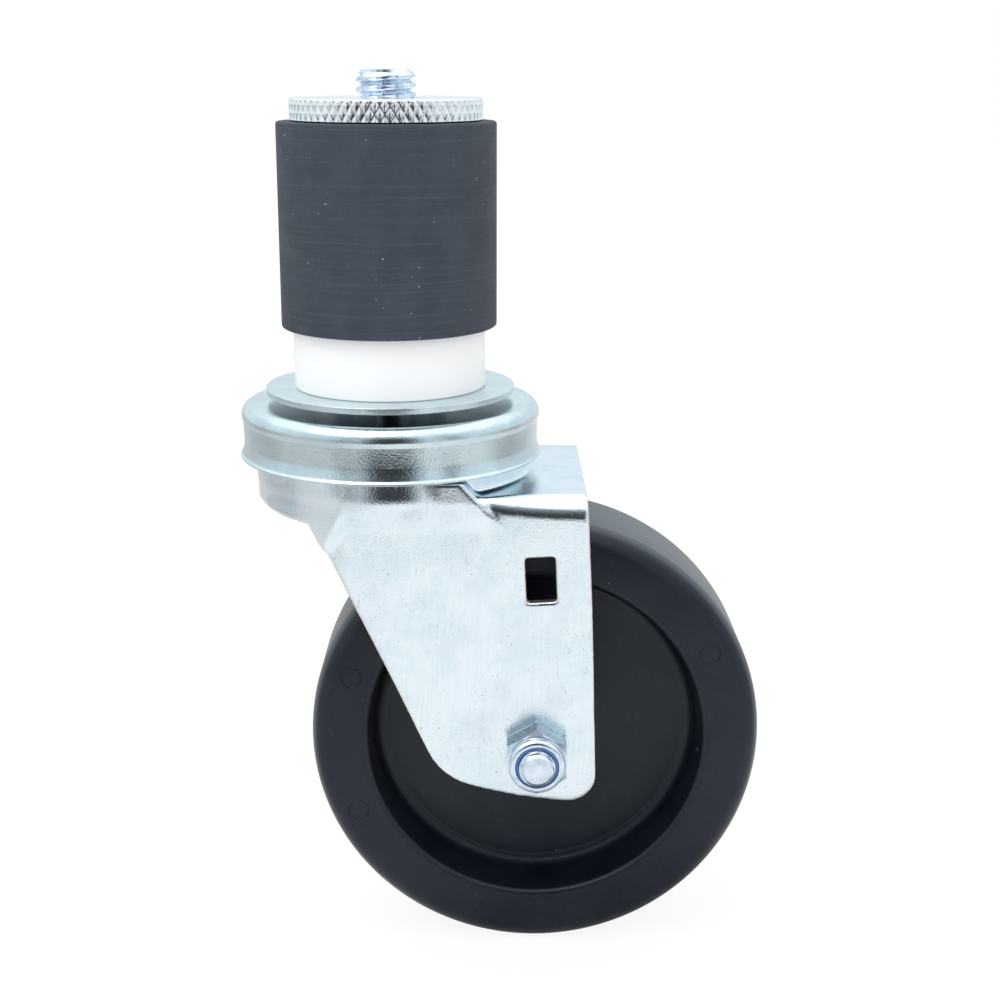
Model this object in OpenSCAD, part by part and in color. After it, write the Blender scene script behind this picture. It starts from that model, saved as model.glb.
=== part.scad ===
// Expanding stem castor: a swivelling fork with one wheel, and a rubber sleeve that a long bolt squeezes
// until it grips the inside of a tube. Millimetres. +Z runs up the stem, +X points to the trailing side
// and +Y runs along the axle. The origin is on the swivel axis, on the top face of the seat washer,
// which is where the end of the tube rests.

/* [Expanding stem] */
// Diameter of the rubber sleeve at rest
sleeve_d = 35.4; // [32:0.1:44]
// Length of the rubber sleeve at rest
sleeve_h = 32.8; // [20:0.1:45]
// Hole through the rubber sleeve and the spacer
sleeve_hole_d = 10.6; // [10:0.1:14]
// Diameter of the nylon spacer
spacer_d = 31.6; // [26:0.1:34]
// Height of the nylon spacer
spacer_h = 10; // [5:0.1:16]
// Diameter of the seat washer
seat_d = 41.2; // [38:0.1:46]
// Thickness of the seat washer
seat_t = 1.1; // [0.8:0.1:2]
// Diameter of the knurled nut
knurled_nut_d = 31; // [26:0.1:35]
// Height of the knurled nut
knurled_nut_h = 3.6; // [2.5:0.1:8]
// Diameter of the clamp bolt over its thread
bolt_d = 9.525; // [8:0.005:9.6]
// Length of the clamp bolt under its head
bolt_len = 63.5; // [60:0.1:80]
// Size across the flats of the clamp bolt's head
bolt_head_af = 14.3; // [13:0.1:17]
// Height of the clamp bolt's head
bolt_head_h = 5.6; // [4:0.1:7]

/* [Swivel bearing] */
// Radial room between the fork's crown and the dust cover round it
cover_room = 1.3; // [0.6:0.1:3]
// Height of the dust cover
cover_h = 8.9; // [6:0.1:10]
// Sheet thickness of the dust cover
cover_t = 0.9; // [0.6:0.1:1.2]
// Radius of the dust cover's shoulder
cover_shoulder_r = 2; // [1.5:0.1:3]
// How far the dust cover's rim flares out
cover_flare = 0.6; // [0.2:0.1:1]
// Diameter of the bearing balls
ball_d = 3.175; // [2.5:0.005:3.2]
// Pitch radius of the upper row of balls
upper_ball_r = 16.5; // [16.2:0.1:16.8]
// Pitch radius of the lower row of balls
lower_ball_r = 11.4; // [11.2:0.1:11.6]
// Balls in the upper row
upper_ball_count = 30; // [12:1:31]
// Balls in the lower row
lower_ball_count = 20; // [8:1:21]
// Thickness of the upper race
upper_race_t = 1.7; // [1.5:0.1:2.2]
// Outer diameter of the kingpin's tube
kingpin_d = 14.4; // [12.5:0.1:15]
// Height of the kingpin's head above the dust cover
kingpin_head_h = 1.35; // [0.8:0.05:2.5]
// Thickness of the kingpin's foot
kingpin_foot_t = 1.4; // [1:0.1:2.5]

/* [Fork] */
// Thickness of the fork's sheet
sheet = 1.9; // [1.5:0.1:2.1]
// Outer diameter of the fork's drawn crown
crown_d = 44.6; // [43:0.1:50]
// Depth from the top of the crown to the trailing bridge
crown_h = 8.2; // [7:0.1:9]
// Depth of the skirt from the top of the crown, where it meets the leg
skirt_h = 12.8; // [11:0.1:14]
// Outer width over the legs at the bridge
fork_top_w = 40.4; // [38:0.1:42]
// Outer width over the legs at the axle
fork_axle_w = 33.6; // [31:0.1:36]
// Outer radius of the bends between bridge and legs
bend_r = 4; // [3:0.1:5]
// Distance from the swivel axis to the axle
trail = 24.3; // [20:0.1:28]
// Distance from the seat washer's top face down to the axle
axle_drop = 59.2; // [58.6:0.1:64]
// Distance from the axle to the fork's trailing edge
leg_back = 9.8; // [9:0.1:11]
// Distance from the axle to the fork's lowest edge
leg_below = 8.6; // [7.5:0.1:10]
// Width of the brake slot in each leg
slot_w = 4.85; // [2:0.05:6]
// Height of the brake slot in each leg
slot_h = 7.8; // [4:0.05:9]

/* [Wheel and axle] */
// Diameter of the wheel
wheel_d = 76.2; // [70:0.1:77]
// Width of the tread from face to face
tread_w = 21.9; // [18:0.1:25]
// Radius of the edges of the tread
tread_edge_r = 3; // [1:0.1:4]
// Diameter of the recess in the wheel's face
recess_d = 56.8; // [46:0.1:60]
// Thickness of the web between hub and rim
web_t = 3.6; // [2.5:0.1:6]
// Diameter of the hub
hub_d = 19; // [15:0.1:24]
// Diameter of the axle bolt
axle_d = 6; // [5:0.1:6.3]
// Length of the axle bolt under its head
axle_len = 40.9; // [40:0.1:46]
// Size across the flats of the axle nut and the axle bolt's head
axle_hex_af = 9.8; // [9.5:0.1:11]
// Height of the hexagon of the axle nut
axle_nut_hex_h = 4.2; // [3:0.1:5]
// Height of the round collar of the axle nut
axle_nut_collar_h = 1.8; // [1:0.1:3]
// Outer diameter of the axle sleeve
axle_sleeve_d = 9.5; // [8:0.1:12]

/* [Clearances] */
// Radial clearance of a running fit
running_gap = 0.06; // [0.02:0.01:0.1]
// Radial clearance of pieces that are fastened together
fixed_gap = 0.05; // [0.02:0.01:0.1]
// Clearance between a ball and its track
ball_gap = 0.03; // [0.01:0.01:0.06]
// Clearance between faces that turn or slide on each other
face_gap = 0.04; // [0.02:0.01:0.1]
// Clearance between the hub and each leg
hub_gap = 0.3; // [0.1:0.05:0.6]

/* [Hidden] */
$fn = 64;

// Angle that one straight piece of a rounded corner takes
arc_step = 9;
// Small chamfer on turned and moulded edges
edge_break = 0.4;
// How far a cutting shape runs past what it cuts
past = 1;

// How deep the balls sit in the upper race, in the crown from above and below, and in the lower race
upper_groove = 1.07;
crown_groove = 0.92;
crown_under_groove = 0.87;
lower_groove = 1.22;
// Metal left under the balls in the lower race
lower_race_web = 0.73;

// Levels on the swivel axis, from the seat washer down
seat_z = -seat_t;
cover_z = seat_z - kingpin_head_h;
cover_rim_z = cover_z - cover_h;
upper_race_z = cover_z - cover_t;
race_lip_z = upper_race_z - upper_race_t;
ball_r = ball_d / 2;
track_r = ball_r + ball_gap;
upper_ball_z = race_lip_z - track_r + upper_groove;
crown_z = upper_ball_z - track_r + crown_groove;
crown_under_z = crown_z - sheet;
lower_ball_z = crown_under_z - track_r + crown_under_groove;
lower_race_z = lower_ball_z - track_r + lower_groove;
lower_race_foot_z = lower_ball_z - track_r - lower_race_web;
bolt_seat_z = lower_race_foot_z - kingpin_foot_t;
bolt_top_z = bolt_seat_z + bolt_len;
sleeve_z = spacer_h;
sleeve_top_z = sleeve_z + sleeve_h;

// Swivel bearing
crown_r = crown_d / 2;
cover_r = crown_r + cover_room + cover_t;
bolt_r = bolt_d / 2;
kingpin_r = kingpin_d / 2;
// Radial room round the clamp bolt in the kingpin, and in the seat washer
bolt_room = 0.25;
washer_room = 0.4;
// How far the kingpin's riveted head and foot reach past its tube
kingpin_head_lip = 2.2;
kingpin_foot_lip = 3.4;
kingpin_bore_r = bolt_r + bolt_room;
kingpin_head_r = kingpin_r + kingpin_head_lip;
kingpin_foot_r = kingpin_r + kingpin_foot_lip;
// How far each race reaches past its row of balls
upper_race_rim = 3.6;
lower_race_rim = 1.9;
upper_race_r = upper_ball_r + upper_race_rim;
lower_race_r = lower_ball_r + lower_race_rim;
// Radial room round the kingpin in the crown
crown_hole_room = 1.5;
crown_hole_r = kingpin_r + crown_hole_room;
// Height of the dust cover's rolled rim
cover_lip_h = 0.7;
cover_flare_h = 2;
cover_taper = 0.15;

// Fork
crown_edge_r = 2.6;
plate_z = crown_z - crown_h;
// The crown's wall is upright to the shoulder and from there curves in to the legs
shoulder_drop = 0.5;
shoulder_z = plate_z - shoulder_drop;
blend_z = plate_z - bend_r;
blend_lap = 0.4;
bend_y = fork_top_w / 2 - bend_r;
bend_z = plate_z - bend_r;
crown_fillet_r = 1.2;
axle_z = -axle_drop;
// The legs lean in from the bends and stand upright from this level down
joggle_h = 11.2;
joggle_z = axle_z + joggle_h;
lean_y = fork_axle_w / 2 - bend_y;
lean_z = bend_z - joggle_z;
leg_lean = asin(bend_r / norm([lean_y, lean_z])) - atan2(lean_y, lean_z);
// Below every edge of the fork
below_z = axle_z - 2 * leg_below;
leg_in = fork_axle_w / 2 - sheet;
// Brake slots: their tilt, and their place from the axle and from the bridge
slot_tilt = 3;
slot_lag = 0.5;
slot_drop = 13.9;
slot_x = trail + slot_lag;
slot_z = plate_z - slot_drop;

// Lowest point of the skirt, where its edge meets the leading edge of the leg in a cusp
cusp = [-12.3, crown_z - skirt_h];
skirt_rise = 1.1;
// The leading edge starts steeply under the cusp and then runs straight to the foot
knee = [-10.6, plate_z - 7.8];
lead_start = [-9.2, plate_z - 9.6];
lead_end = [trail - 19.5, axle_z + 3.4];
// The foot: its round toe, its flat sole and its heel
toe = [trail - 15.9, axle_z - 4.5];
toe_r = 11;
sole = [trail - 3, axle_z - leg_below + 0.6];
heel = [trail + leg_back + 0.3, axle_z - leg_below - 0.45];
heel_r = 4.6;
// The trailing edge bows out a little on its way up to the bridge
back_x = trail + leg_back - 0.7;
bow_r = 400;
bridge_x = trail + leg_back - 2;
soft_r = 60;

// Side view of the fork in x and z, with the radius of each corner: from the skirt's cusp down the leading
// edge, round the foot and up the trailing edge to a level above the crown.
fork_outline = [
    [cusp[0], cusp[1], 0],
    [knee[0], knee[1], 1],
    [lead_start[0], lead_start[1], 2],
    [lead_end[0], lead_end[1], soft_r],
    [toe[0], toe[1], toe_r],
    [sole[0], sole[1], soft_r],
    [heel[0], heel[1], heel_r],
    [back_x, (plate_z + axle_z) / 2, bow_r],
    [bridge_x, plate_z, 0],
    [bridge_x, crown_z + past, 0],
    [-crown_r - past, crown_z + past, 0],
    [-crown_r - past, cusp[1] + skirt_rise, 0],
];

// Wheel
wheel_r = wheel_d / 2;
tread_y = tread_w / 2;
hub_y = leg_in - hub_gap;
hub_r = hub_d / 2;
hub_chamfer = 1.3;
hub_draft = 0.5;
recess_r = recess_d / 2;
recess_draft = 0.7;
web_y = web_t / 2;
axle_r = axle_d / 2;
axle_bore_r = axle_r + fixed_gap;
axle_sleeve_r = axle_sleeve_d / 2;

// Half of the wheel's section in radius and y, with the radius of each corner
wheel_half = [
    [hub_r - hub_chamfer, hub_y, 0.3],
    [hub_r, hub_y - hub_chamfer, 1],
    [hub_r + hub_draft, web_y, 1.5],
    [recess_r - recess_draft, web_y, 1.6],
    [recess_r, tread_y, 0.5],
    [wheel_r, tread_y, tread_edge_r],
];

function unit(v) = v / norm(v);
function xy(p) = [p[0], p[1]];
function turn(a) = a > 180 ? a - 360 : a < -180 ? a + 360 : a;

// Arc of radius r that rounds the corner b between its neighbours a and c
function corner_arc(a, b, c, r) =
    let (
        u = unit(a - b),
        v = unit(c - b),
        half = acos(u * v) / 2,
        centre = b + unit(u + v) * r / sin(half),
        first = b + u * r / tan(half) - centre,
        last = b + v * r / tan(half) - centre,
        start = atan2(first[1], first[0]),
        sweep = turn(atan2(last[1], last[0]) - start),
        steps = max(1, ceil(abs(sweep) / arc_step))
    )
    [for (i = [0:steps]) centre + r * [cos(start + sweep * i / steps), sin(start + sweep * i / steps)]];

// Outline through corners given as [x, y, radius]
function rounded(corners) =
    let (n = len(corners))
    [for (i = [0:n - 1])
        each corners[i][2] == 0 ? [xy(corners[i])]
            : corner_arc(xy(corners[(i + n - 1) % n]), xy(corners[i]), xy(corners[(i + 1) % n]), corners[i][2])];

// Turned ring between two radii and two levels, with its outer edges broken
module turned_ring(inner_r, outer_r, z0, z1, chamfer) {
    rotate_extrude() polygon([
        [inner_r, z0],
        [outer_r - chamfer, z0],
        [outer_r, z0 + chamfer],
        [outer_r, z1 - chamfer],
        [outer_r - chamfer, z1],
        [inner_r, z1],
    ]);
}

// How far inside the flats the corners of a hexagon are turned off
hex_turning = 0.1;

// Hexagon standing on z = 0, with the corners of its far end turned off
module hex_head(af, height) {
    corner_r = af / 2 / cos(30);
    intersection() {
        rotate([0, 0, 30]) cylinder(r = corner_r, h = height, $fn = 6);
        cylinder(r1 = corner_r + height / tan(30), r2 = af / 2 - hex_turning, h = height);
    }
}

// Ring of material round a ball row, in the plane of radius and z
module track_circle(pitch_r, z, r) {
    translate([pitch_r, z]) circle(r = r);
}

module ball_row(pitch_r, z, count) {
    for (i = [0:count - 1])
        rotate([0, 0, 360 * i / count]) translate([pitch_r, 0, z]) sphere(r = ball_r);
}

module rubber_sleeve() {
    color([0.25, 0.28, 0.32])
        turned_ring(sleeve_hole_d / 2, sleeve_d / 2, sleeve_z, sleeve_top_z, edge_break);
}

module nylon_spacer() {
    color([0.96, 0.96, 0.97])
        turned_ring(sleeve_hole_d / 2, spacer_d / 2, 0, spacer_h, edge_break);
}

module seat_washer() {
    color([0.72, 0.77, 0.78])
        turned_ring(bolt_r + washer_room, seat_d / 2, seat_z, 0, edge_break / 2);
}

module knurled_nut() {
    color([0.85, 0.87, 0.9])
        turned_ring(bolt_r + running_gap, knurled_nut_d / 2, sleeve_top_z + face_gap,
            sleeve_top_z + face_gap + knurled_nut_h, edge_break);
}

module clamp_bolt() {
    tip = 0.9;
    color([0.75, 0.82, 0.88]) {
        translate([0, 0, bolt_seat_z - face_gap]) {
            cylinder(r = bolt_r, h = bolt_len - tip);
            translate([0, 0, bolt_len - tip]) cylinder(r1 = bolt_r, r2 = bolt_r - tip, h = tip);
            rotate([180, 0, 0]) hex_head(bolt_head_af, bolt_head_h);
        }
    }
}

module kingpin() {
    color([0.7, 0.73, 0.75]) rotate_extrude() polygon([
        [kingpin_bore_r, bolt_seat_z],
        [kingpin_foot_r - edge_break, bolt_seat_z],
        [kingpin_foot_r, bolt_seat_z + edge_break],
        [kingpin_foot_r, lower_race_foot_z],
        [kingpin_r, lower_race_foot_z],
        [kingpin_r, cover_z],
        [kingpin_head_r, cover_z],
        [kingpin_head_r, seat_z - edge_break],
        [kingpin_head_r - edge_break, seat_z],
        [kingpin_bore_r, seat_z],
    ]);
}

// Section of the dust cover as a filled shape, drawn in by d
module cover_section(d) {
    wall_r = cover_r - d;
    rim_r = wall_r + cover_flare;
    polygon(rounded([
        [0, cover_z - d, 0],
        [wall_r, cover_z - d, cover_shoulder_r - d],
        [wall_r + cover_taper, cover_rim_z + cover_flare_h, 3],
        [rim_r, cover_rim_z + cover_lip_h, 1],
        [rim_r, cover_rim_z, 0],
        [0, cover_rim_z, 0],
    ]));
}

module dust_cover() {
    color([0.66, 0.72, 0.72]) rotate_extrude() difference() {
        cover_section(0);
        cover_section(cover_t);
        translate([0, cover_rim_z - past]) square([kingpin_r + fixed_gap, cover_h + 2 * past]);
    }
}

module upper_race() {
    color([0.62, 0.64, 0.66]) rotate_extrude() difference() {
        translate([kingpin_r + fixed_gap, race_lip_z])
            square([upper_race_r - kingpin_r - fixed_gap, upper_race_t]);
        track_circle(upper_ball_r, upper_ball_z, track_r);
    }
}

module upper_balls() {
    color([0.8, 0.8, 0.82]) ball_row(upper_ball_r, upper_ball_z, upper_ball_count);
}

module lower_balls() {
    color([0.8, 0.8, 0.82]) ball_row(lower_ball_r, lower_ball_z, lower_ball_count);
}

module lower_race() {
    color([0.62, 0.64, 0.66]) rotate_extrude() difference() {
        translate([kingpin_r + fixed_gap, lower_race_foot_z])
            square([lower_race_r - kingpin_r - fixed_gap, lower_race_z - lower_race_foot_z]);
        track_circle(lower_ball_r, lower_ball_z, track_r);
    }
}

// Section across the legs and the bridge in y and z, drawn in by d
module channel_section(d) {
    r = bend_r - d;
    tangent = [bend_y + r * cos(leg_lean), bend_z - r * sin(leg_lean)];
    foot = [fork_axle_w / 2 - d, joggle_z + d * tan(leg_lean / 2)];
    polygon([
        [-tangent[0], tangent[1]],
        [-foot[0], foot[1]],
        [-foot[0], below_z],
        [foot[0], below_z],
        foot,
        tangent,
    ]);
    translate([-bend_y, bend_z - 1]) square([2 * bend_y, bend_r + 1 - d]);
    for (side = [-1, 1])
        translate([side * bend_y, bend_z]) circle(r = r);
}

// The legs and the bridge as a filled body, drawn in by d. On the leading side they keep to the crown's round.
module channel_body(d) {
    reach = trail + leg_back + 5;
    intersection() {
        translate([-crown_r, 0, 0]) rotate([90, 0, 90])
            linear_extrude(height = crown_r + reach) channel_section(d);
        union() {
            translate([0, 0, below_z]) cylinder(r = crown_r - d, h = crown_z - below_z);
            translate([0, -crown_r, below_z]) cube([reach + 1, 2 * crown_r, crown_z - below_z]);
        }
    }
}

// The drawn crown as a filled body, drawn in by d. Below the bridge its wall curves in to meet the legs.
module crown_body(d) {
    steps = 8;
    drop = shoulder_z - blend_z;
    inset = crown_r - fork_top_w / 2 + blend_lap;
    rotate_extrude() {
        translate([0, shoulder_z]) square([crown_r - d, crown_z - crown_edge_r - shoulder_z]);
        translate([0, shoulder_z]) square([crown_r - crown_edge_r, crown_z - d - shoulder_z]);
        translate([crown_r - crown_edge_r, crown_z - crown_edge_r]) circle(r = crown_edge_r - d);
        polygon([
            [0, shoulder_z],
            for (i = [0:steps])
                [crown_r - d - inset * (1 - cos(180 * i / steps)) / 2, shoulder_z - drop * i / steps],
            [0, blend_z],
        ]);
    }
}

// The skirt of the crown on the leading side as a filled body, drawn in by d
module skirt_body(d) {
    leg_y = fork_top_w / 2 - d;
    r = crown_r - d;
    leg_x = -sqrt(r * r - leg_y * leg_y);
    skirt_foot_z = crown_z - skirt_h - past;
    intersection() {
        translate([0, 0, skirt_foot_z]) cylinder(r = r, h = shoulder_z + 1 - skirt_foot_z);
        translate([leg_x - 2 * crown_r, -crown_r, skirt_foot_z])
            cube([2 * crown_r, 2 * crown_r, shoulder_z + 1 - skirt_foot_z]);
    }
}

module fork_body(d) {
    channel_body(d);
    crown_body(d);
    skirt_body(d);
}

// Everything inside the side outline of the fork
module side_form() {
    translate([0, crown_r + past, 0]) rotate([90, 0, 0])
        linear_extrude(height = 2 * (crown_r + past)) polygon(rounded(fork_outline));
}

// Small fillet where the wall of the crown meets the bridge
module crown_fillet() {
    intersection() {
        rotate_extrude() translate([crown_r - 0.3, plate_z - 0.3]) difference() {
            square(crown_fillet_r + 0.3);
            translate([crown_fillet_r + 0.3, crown_fillet_r + 0.3]) circle(r = crown_fillet_r);
        }
        translate([0, -bend_y, plate_z - 1]) cube([2 * crown_r, 2 * bend_y, crown_fillet_r + 2]);
    }
}

// Pressed ball track: the sheet wraps the row of balls from below on the upper one, from above on the lower one
module track_bosses() {
    boss_r = track_r + sheet;
    rotate_extrude() intersection() {
        track_circle(upper_ball_r, upper_ball_z, boss_r);
        translate([0, crown_z - 10]) square([crown_r - sheet / 2, 10 - sheet / 2]);
    }
    rotate_extrude() intersection() {
        track_circle(lower_ball_r, lower_ball_z, boss_r);
        translate([crown_hole_r, crown_under_z + sheet / 2]) square([crown_r, 10]);
    }
}

module tracks() {
    rotate_extrude() track_circle(upper_ball_r, upper_ball_z, track_r);
    rotate_extrude() track_circle(lower_ball_r, lower_ball_z, track_r);
}

// Brake slot through both legs
module brake_slot() {
    corner_r = 0.5;
    w = slot_w / 2;
    h = slot_h / 2;
    translate([slot_x, crown_r, slot_z]) rotate([0, -slot_tilt, 0]) rotate([90, 0, 0])
        linear_extrude(height = 2 * crown_r)
            polygon(rounded([[-w, -h, corner_r], [w, -h, corner_r], [w, h, corner_r], [-w, h, corner_r]]));
}

module fork() {
    color([0.82, 0.87, 0.9]) difference() {
        union() {
            intersection() {
                difference() {
                    fork_body(0);
                    fork_body(sheet);
                }
                side_form();
            }
            crown_fillet();
            track_bosses();
        }
        translate([0, 0, below_z]) cylinder(r = crown_hole_r, h = -below_z);
        tracks();
        brake_slot();
        translate([trail, crown_r, axle_z]) rotate([90, 0, 0]) cylinder(r = axle_bore_r, h = 2 * crown_r);
    }
}

module wheel() {
    half = rounded(concat(
        [[hub_r - hub_chamfer, hub_y + past, 0]],
        wheel_half,
        [[wheel_r, 0, 0]]));
    // The outline starts on the hub's end face and ends on the middle of the tread
    edge = [for (i = [1:len(half) - 1]) half[i]];
    bore_r = axle_sleeve_r + running_gap;
    color([0.13, 0.14, 0.16]) translate([trail, 0, axle_z]) rotate([90, 0, 0])
        rotate_extrude() polygon(concat(
            [[bore_r, -hub_y], [bore_r, hub_y]],
            edge,
            [for (i = [len(edge) - 2:-1:0]) [edge[i][0], -edge[i][1]]]));
}

module axle_sleeve() {
    length = 2 * (leg_in - face_gap);
    color([0.7, 0.72, 0.74]) translate([trail, length / 2, axle_z]) rotate([90, 0, 0]) difference() {
        cylinder(r = axle_sleeve_r, h = length);
        translate([0, 0, -past]) cylinder(r = axle_bore_r, h = length + 2 * past);
    }
}

module axle_bolt() {
    tip = 0.7;
    axle_head_h = 4;
    color([0.78, 0.82, 0.85]) translate([trail, fork_axle_w / 2, axle_z]) rotate([90, 0, 0]) {
        cylinder(r = axle_r, h = axle_len - tip);
        translate([0, 0, axle_len - tip]) cylinder(r1 = axle_r, r2 = axle_r - tip, h = tip);
        rotate([180, 0, 0]) hex_head(axle_hex_af, axle_head_h);
    }
}

// The nut's collar holds the locking ring, which stops a little below the rolled edge
insert_r = axle_r + 0.5;
insert_seat = 0.3;
insert_sunk = 0.2;
insert_h = axle_nut_collar_h + insert_seat;
collar_inset = 0.25;
collar_roll_r = 0.7;
axle_nut_h = axle_nut_hex_h + axle_nut_collar_h;

module axle_nut() {
    collar_r = axle_hex_af / 2 - collar_inset;
    color([0.8, 0.84, 0.87]) translate([trail, -fork_axle_w / 2, axle_z]) rotate([90, 0, 0]) difference() {
        union() {
            hex_head(axle_hex_af, axle_nut_hex_h);
            rotate_extrude() polygon(rounded([
                [0, axle_nut_hex_h - past, 0],
                [collar_r, axle_nut_hex_h - past, 0],
                [collar_r, axle_nut_h, collar_roll_r],
                [0, axle_nut_h, 0],
            ]));
        }
        translate([0, 0, -past]) cylinder(r = axle_bore_r, h = axle_nut_h + 2 * past);
        translate([0, 0, axle_nut_h - insert_h]) cylinder(r = insert_r + fixed_gap, h = insert_h + past);
    }
}

module nut_insert() {
    color([0.2, 0.4, 0.75]) translate([trail, -fork_axle_w / 2 - axle_nut_h + insert_h, axle_z])
        rotate([90, 0, 0]) difference() {
            cylinder(r = insert_r, h = insert_h - insert_sunk);
            translate([0, 0, -past]) cylinder(r = axle_bore_r, h = insert_h + 2 * past);
        }
}

rubber_sleeve();
nylon_spacer();
seat_washer();
knurled_nut();
clamp_bolt();
kingpin();
dust_cover();
upper_race();
upper_balls();
fork();
lower_balls();
lower_race();
wheel();
axle_sleeve();
axle_bolt();
axle_nut();
nut_insert();
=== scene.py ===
import math

import bmesh
import bpy
import numpy as np
from mathutils import Matrix


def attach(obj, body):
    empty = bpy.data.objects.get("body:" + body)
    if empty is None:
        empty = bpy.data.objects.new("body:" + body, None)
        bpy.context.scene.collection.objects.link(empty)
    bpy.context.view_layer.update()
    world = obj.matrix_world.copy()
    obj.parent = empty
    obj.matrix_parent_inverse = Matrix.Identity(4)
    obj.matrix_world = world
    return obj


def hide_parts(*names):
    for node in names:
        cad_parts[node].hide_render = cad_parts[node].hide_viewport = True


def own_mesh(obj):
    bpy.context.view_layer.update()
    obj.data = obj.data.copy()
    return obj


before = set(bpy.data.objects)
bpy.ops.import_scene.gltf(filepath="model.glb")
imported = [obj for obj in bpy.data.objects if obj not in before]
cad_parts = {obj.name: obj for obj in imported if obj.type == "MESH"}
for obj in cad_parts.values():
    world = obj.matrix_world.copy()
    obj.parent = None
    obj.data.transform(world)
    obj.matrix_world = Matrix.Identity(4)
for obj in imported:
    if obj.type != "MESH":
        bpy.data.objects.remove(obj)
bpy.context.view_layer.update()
scene = bpy.context.scene
MM = 0.001


# Camera. It stands a little to the right of the stem, at the height of the thread's end, and looks
# slightly down. The frame is 1000 pixels square.
focal_px = 1654.16
camera = bpy.data.objects.new("camera", bpy.data.cameras.new("camera"))
camera.data.sensor_width = 36
camera.data.lens = 36 * focal_px / 1000
camera.location = np.array([17.193, -271.845, 52.199]) * MM
camera.rotation_euler = (math.radians(90 - 14.893), math.radians(-0.069), math.radians(-0.21))
scene.collection.objects.link(camera)
scene.camera = camera


# Fork. One stamping of 1.9 mm steel sheet: a drawn crown with a pressed ball track, a bridge behind it
# and two legs that lean in to the wheel. Its outline, brake slots and axle holes are sheared, and it is
# plated with zinc and passivated clear after the press. It is described as a distance field.
def at_least(a, b, r):
    """Where both shapes are, with the edge between them rounded."""
    return np.minimum(np.maximum(a, b), -r) + np.hypot(np.maximum(a + r, 0), np.maximum(b + r, 0))


def at_most(a, b, r):
    """Where either shape is, with a fillet in the corner between them."""
    return np.maximum(np.minimum(a, b), r) - np.hypot(np.maximum(r - a, 0), np.maximum(r - b, 0))


def step(a, b, v):
    t = np.clip((v - a) / (b - a), 0, 1)
    return t * t * (3 - 2 * t)


def round_corners(corners, arc_step=9):
    """Outline through corners given as (x, y, radius)."""
    points = []
    for i, (x, y, r) in enumerate(corners):
        b = np.array([x, y], float)
        if r == 0:
            points.append(b)
            continue
        a, c = (np.array(corners[(i + k) % len(corners)][:2], float) for k in (-1, 1))
        u, v = ((p - b) / np.linalg.norm(p - b) for p in (a, c))
        half = math.acos(u @ v) / 2
        centre = b + (u + v) / np.linalg.norm(u + v) * r / math.sin(half)
        first, last = (b + w * r / math.tan(half) - centre for w in (u, v))
        start = math.atan2(first[1], first[0])
        sweep = (math.atan2(last[1], last[0]) - start + math.pi) % (2 * math.pi) - math.pi
        count = max(1, math.ceil(abs(math.degrees(sweep)) / arc_step))
        for k in range(count + 1):
            t = start + sweep * k / count
            points.append(centre + r * np.array([math.cos(t), math.sin(t)]))
    return np.array(points)


sheet = 1.9
crown_r = 22.3
crown_top = -6.295
track_r = 16.5
bridge_z = -14.5
joggle_z = -48
leg_half = 16.8
leg_lean = math.tan(math.radians(6.6))
axle_x, axle_z = 24.3, -59.2
side_outline = round_corners([
    (-12.3, -19.1, 0.3), (-10.6, -22.3, 1), (-9.2, -24.1, 2), (4.8, -55.8, 60), (8.4, -63.7, 11),
    (21.3, -67.2, 60), (34.4, -68.25, 4.6), (33.4, -36.85, 400), (32.1, -14.5, 0), (32.1, 0, 0),
    (-24, 0, 0), (-24, -18, 0)])


def outline_distance(x, z, outline):
    """Signed distance to a closed outline, negative inside."""
    best = np.full(x.shape, 1e9)
    inside = np.zeros(x.shape, bool)
    for a, b in zip(outline, np.roll(outline, -1, axis=0)):
        e = b - a
        px, pz = x - a[0], z - a[1]
        t = np.clip((px * e[0] + pz * e[1]) / (e @ e), 0, 1)
        best = np.minimum(best, (px - t * e[0]) ** 2 + (pz - t * e[1]) ** 2)
        crosses = (a[1] > z) != (b[1] > z)
        if abs(e[1]) > 1e-12:
            inside ^= crosses & (px < e[0] * pz / e[1])
    return np.where(inside, -1, 1) * np.sqrt(best)


def sheared(x, z, r):
    """Distance to the cuts of the press: the outline, the crown's hole, the slots and the axle holes."""
    blank = np.maximum(outline_distance(x, z, side_outline), 8.7 - r)
    c, s = math.cos(math.radians(3)), math.sin(math.radians(3))
    u, v = x - 24.8, z + 28.4
    u, v = np.abs(u * c + v * s), np.abs(v * c - u * s)
    slot = at_least(u - 2.425, v - 3.9, 0.5)
    hole = np.hypot(x - axle_x, z - axle_z) - 3.05
    return np.maximum(blank, -np.minimum(slot, hole))


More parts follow.
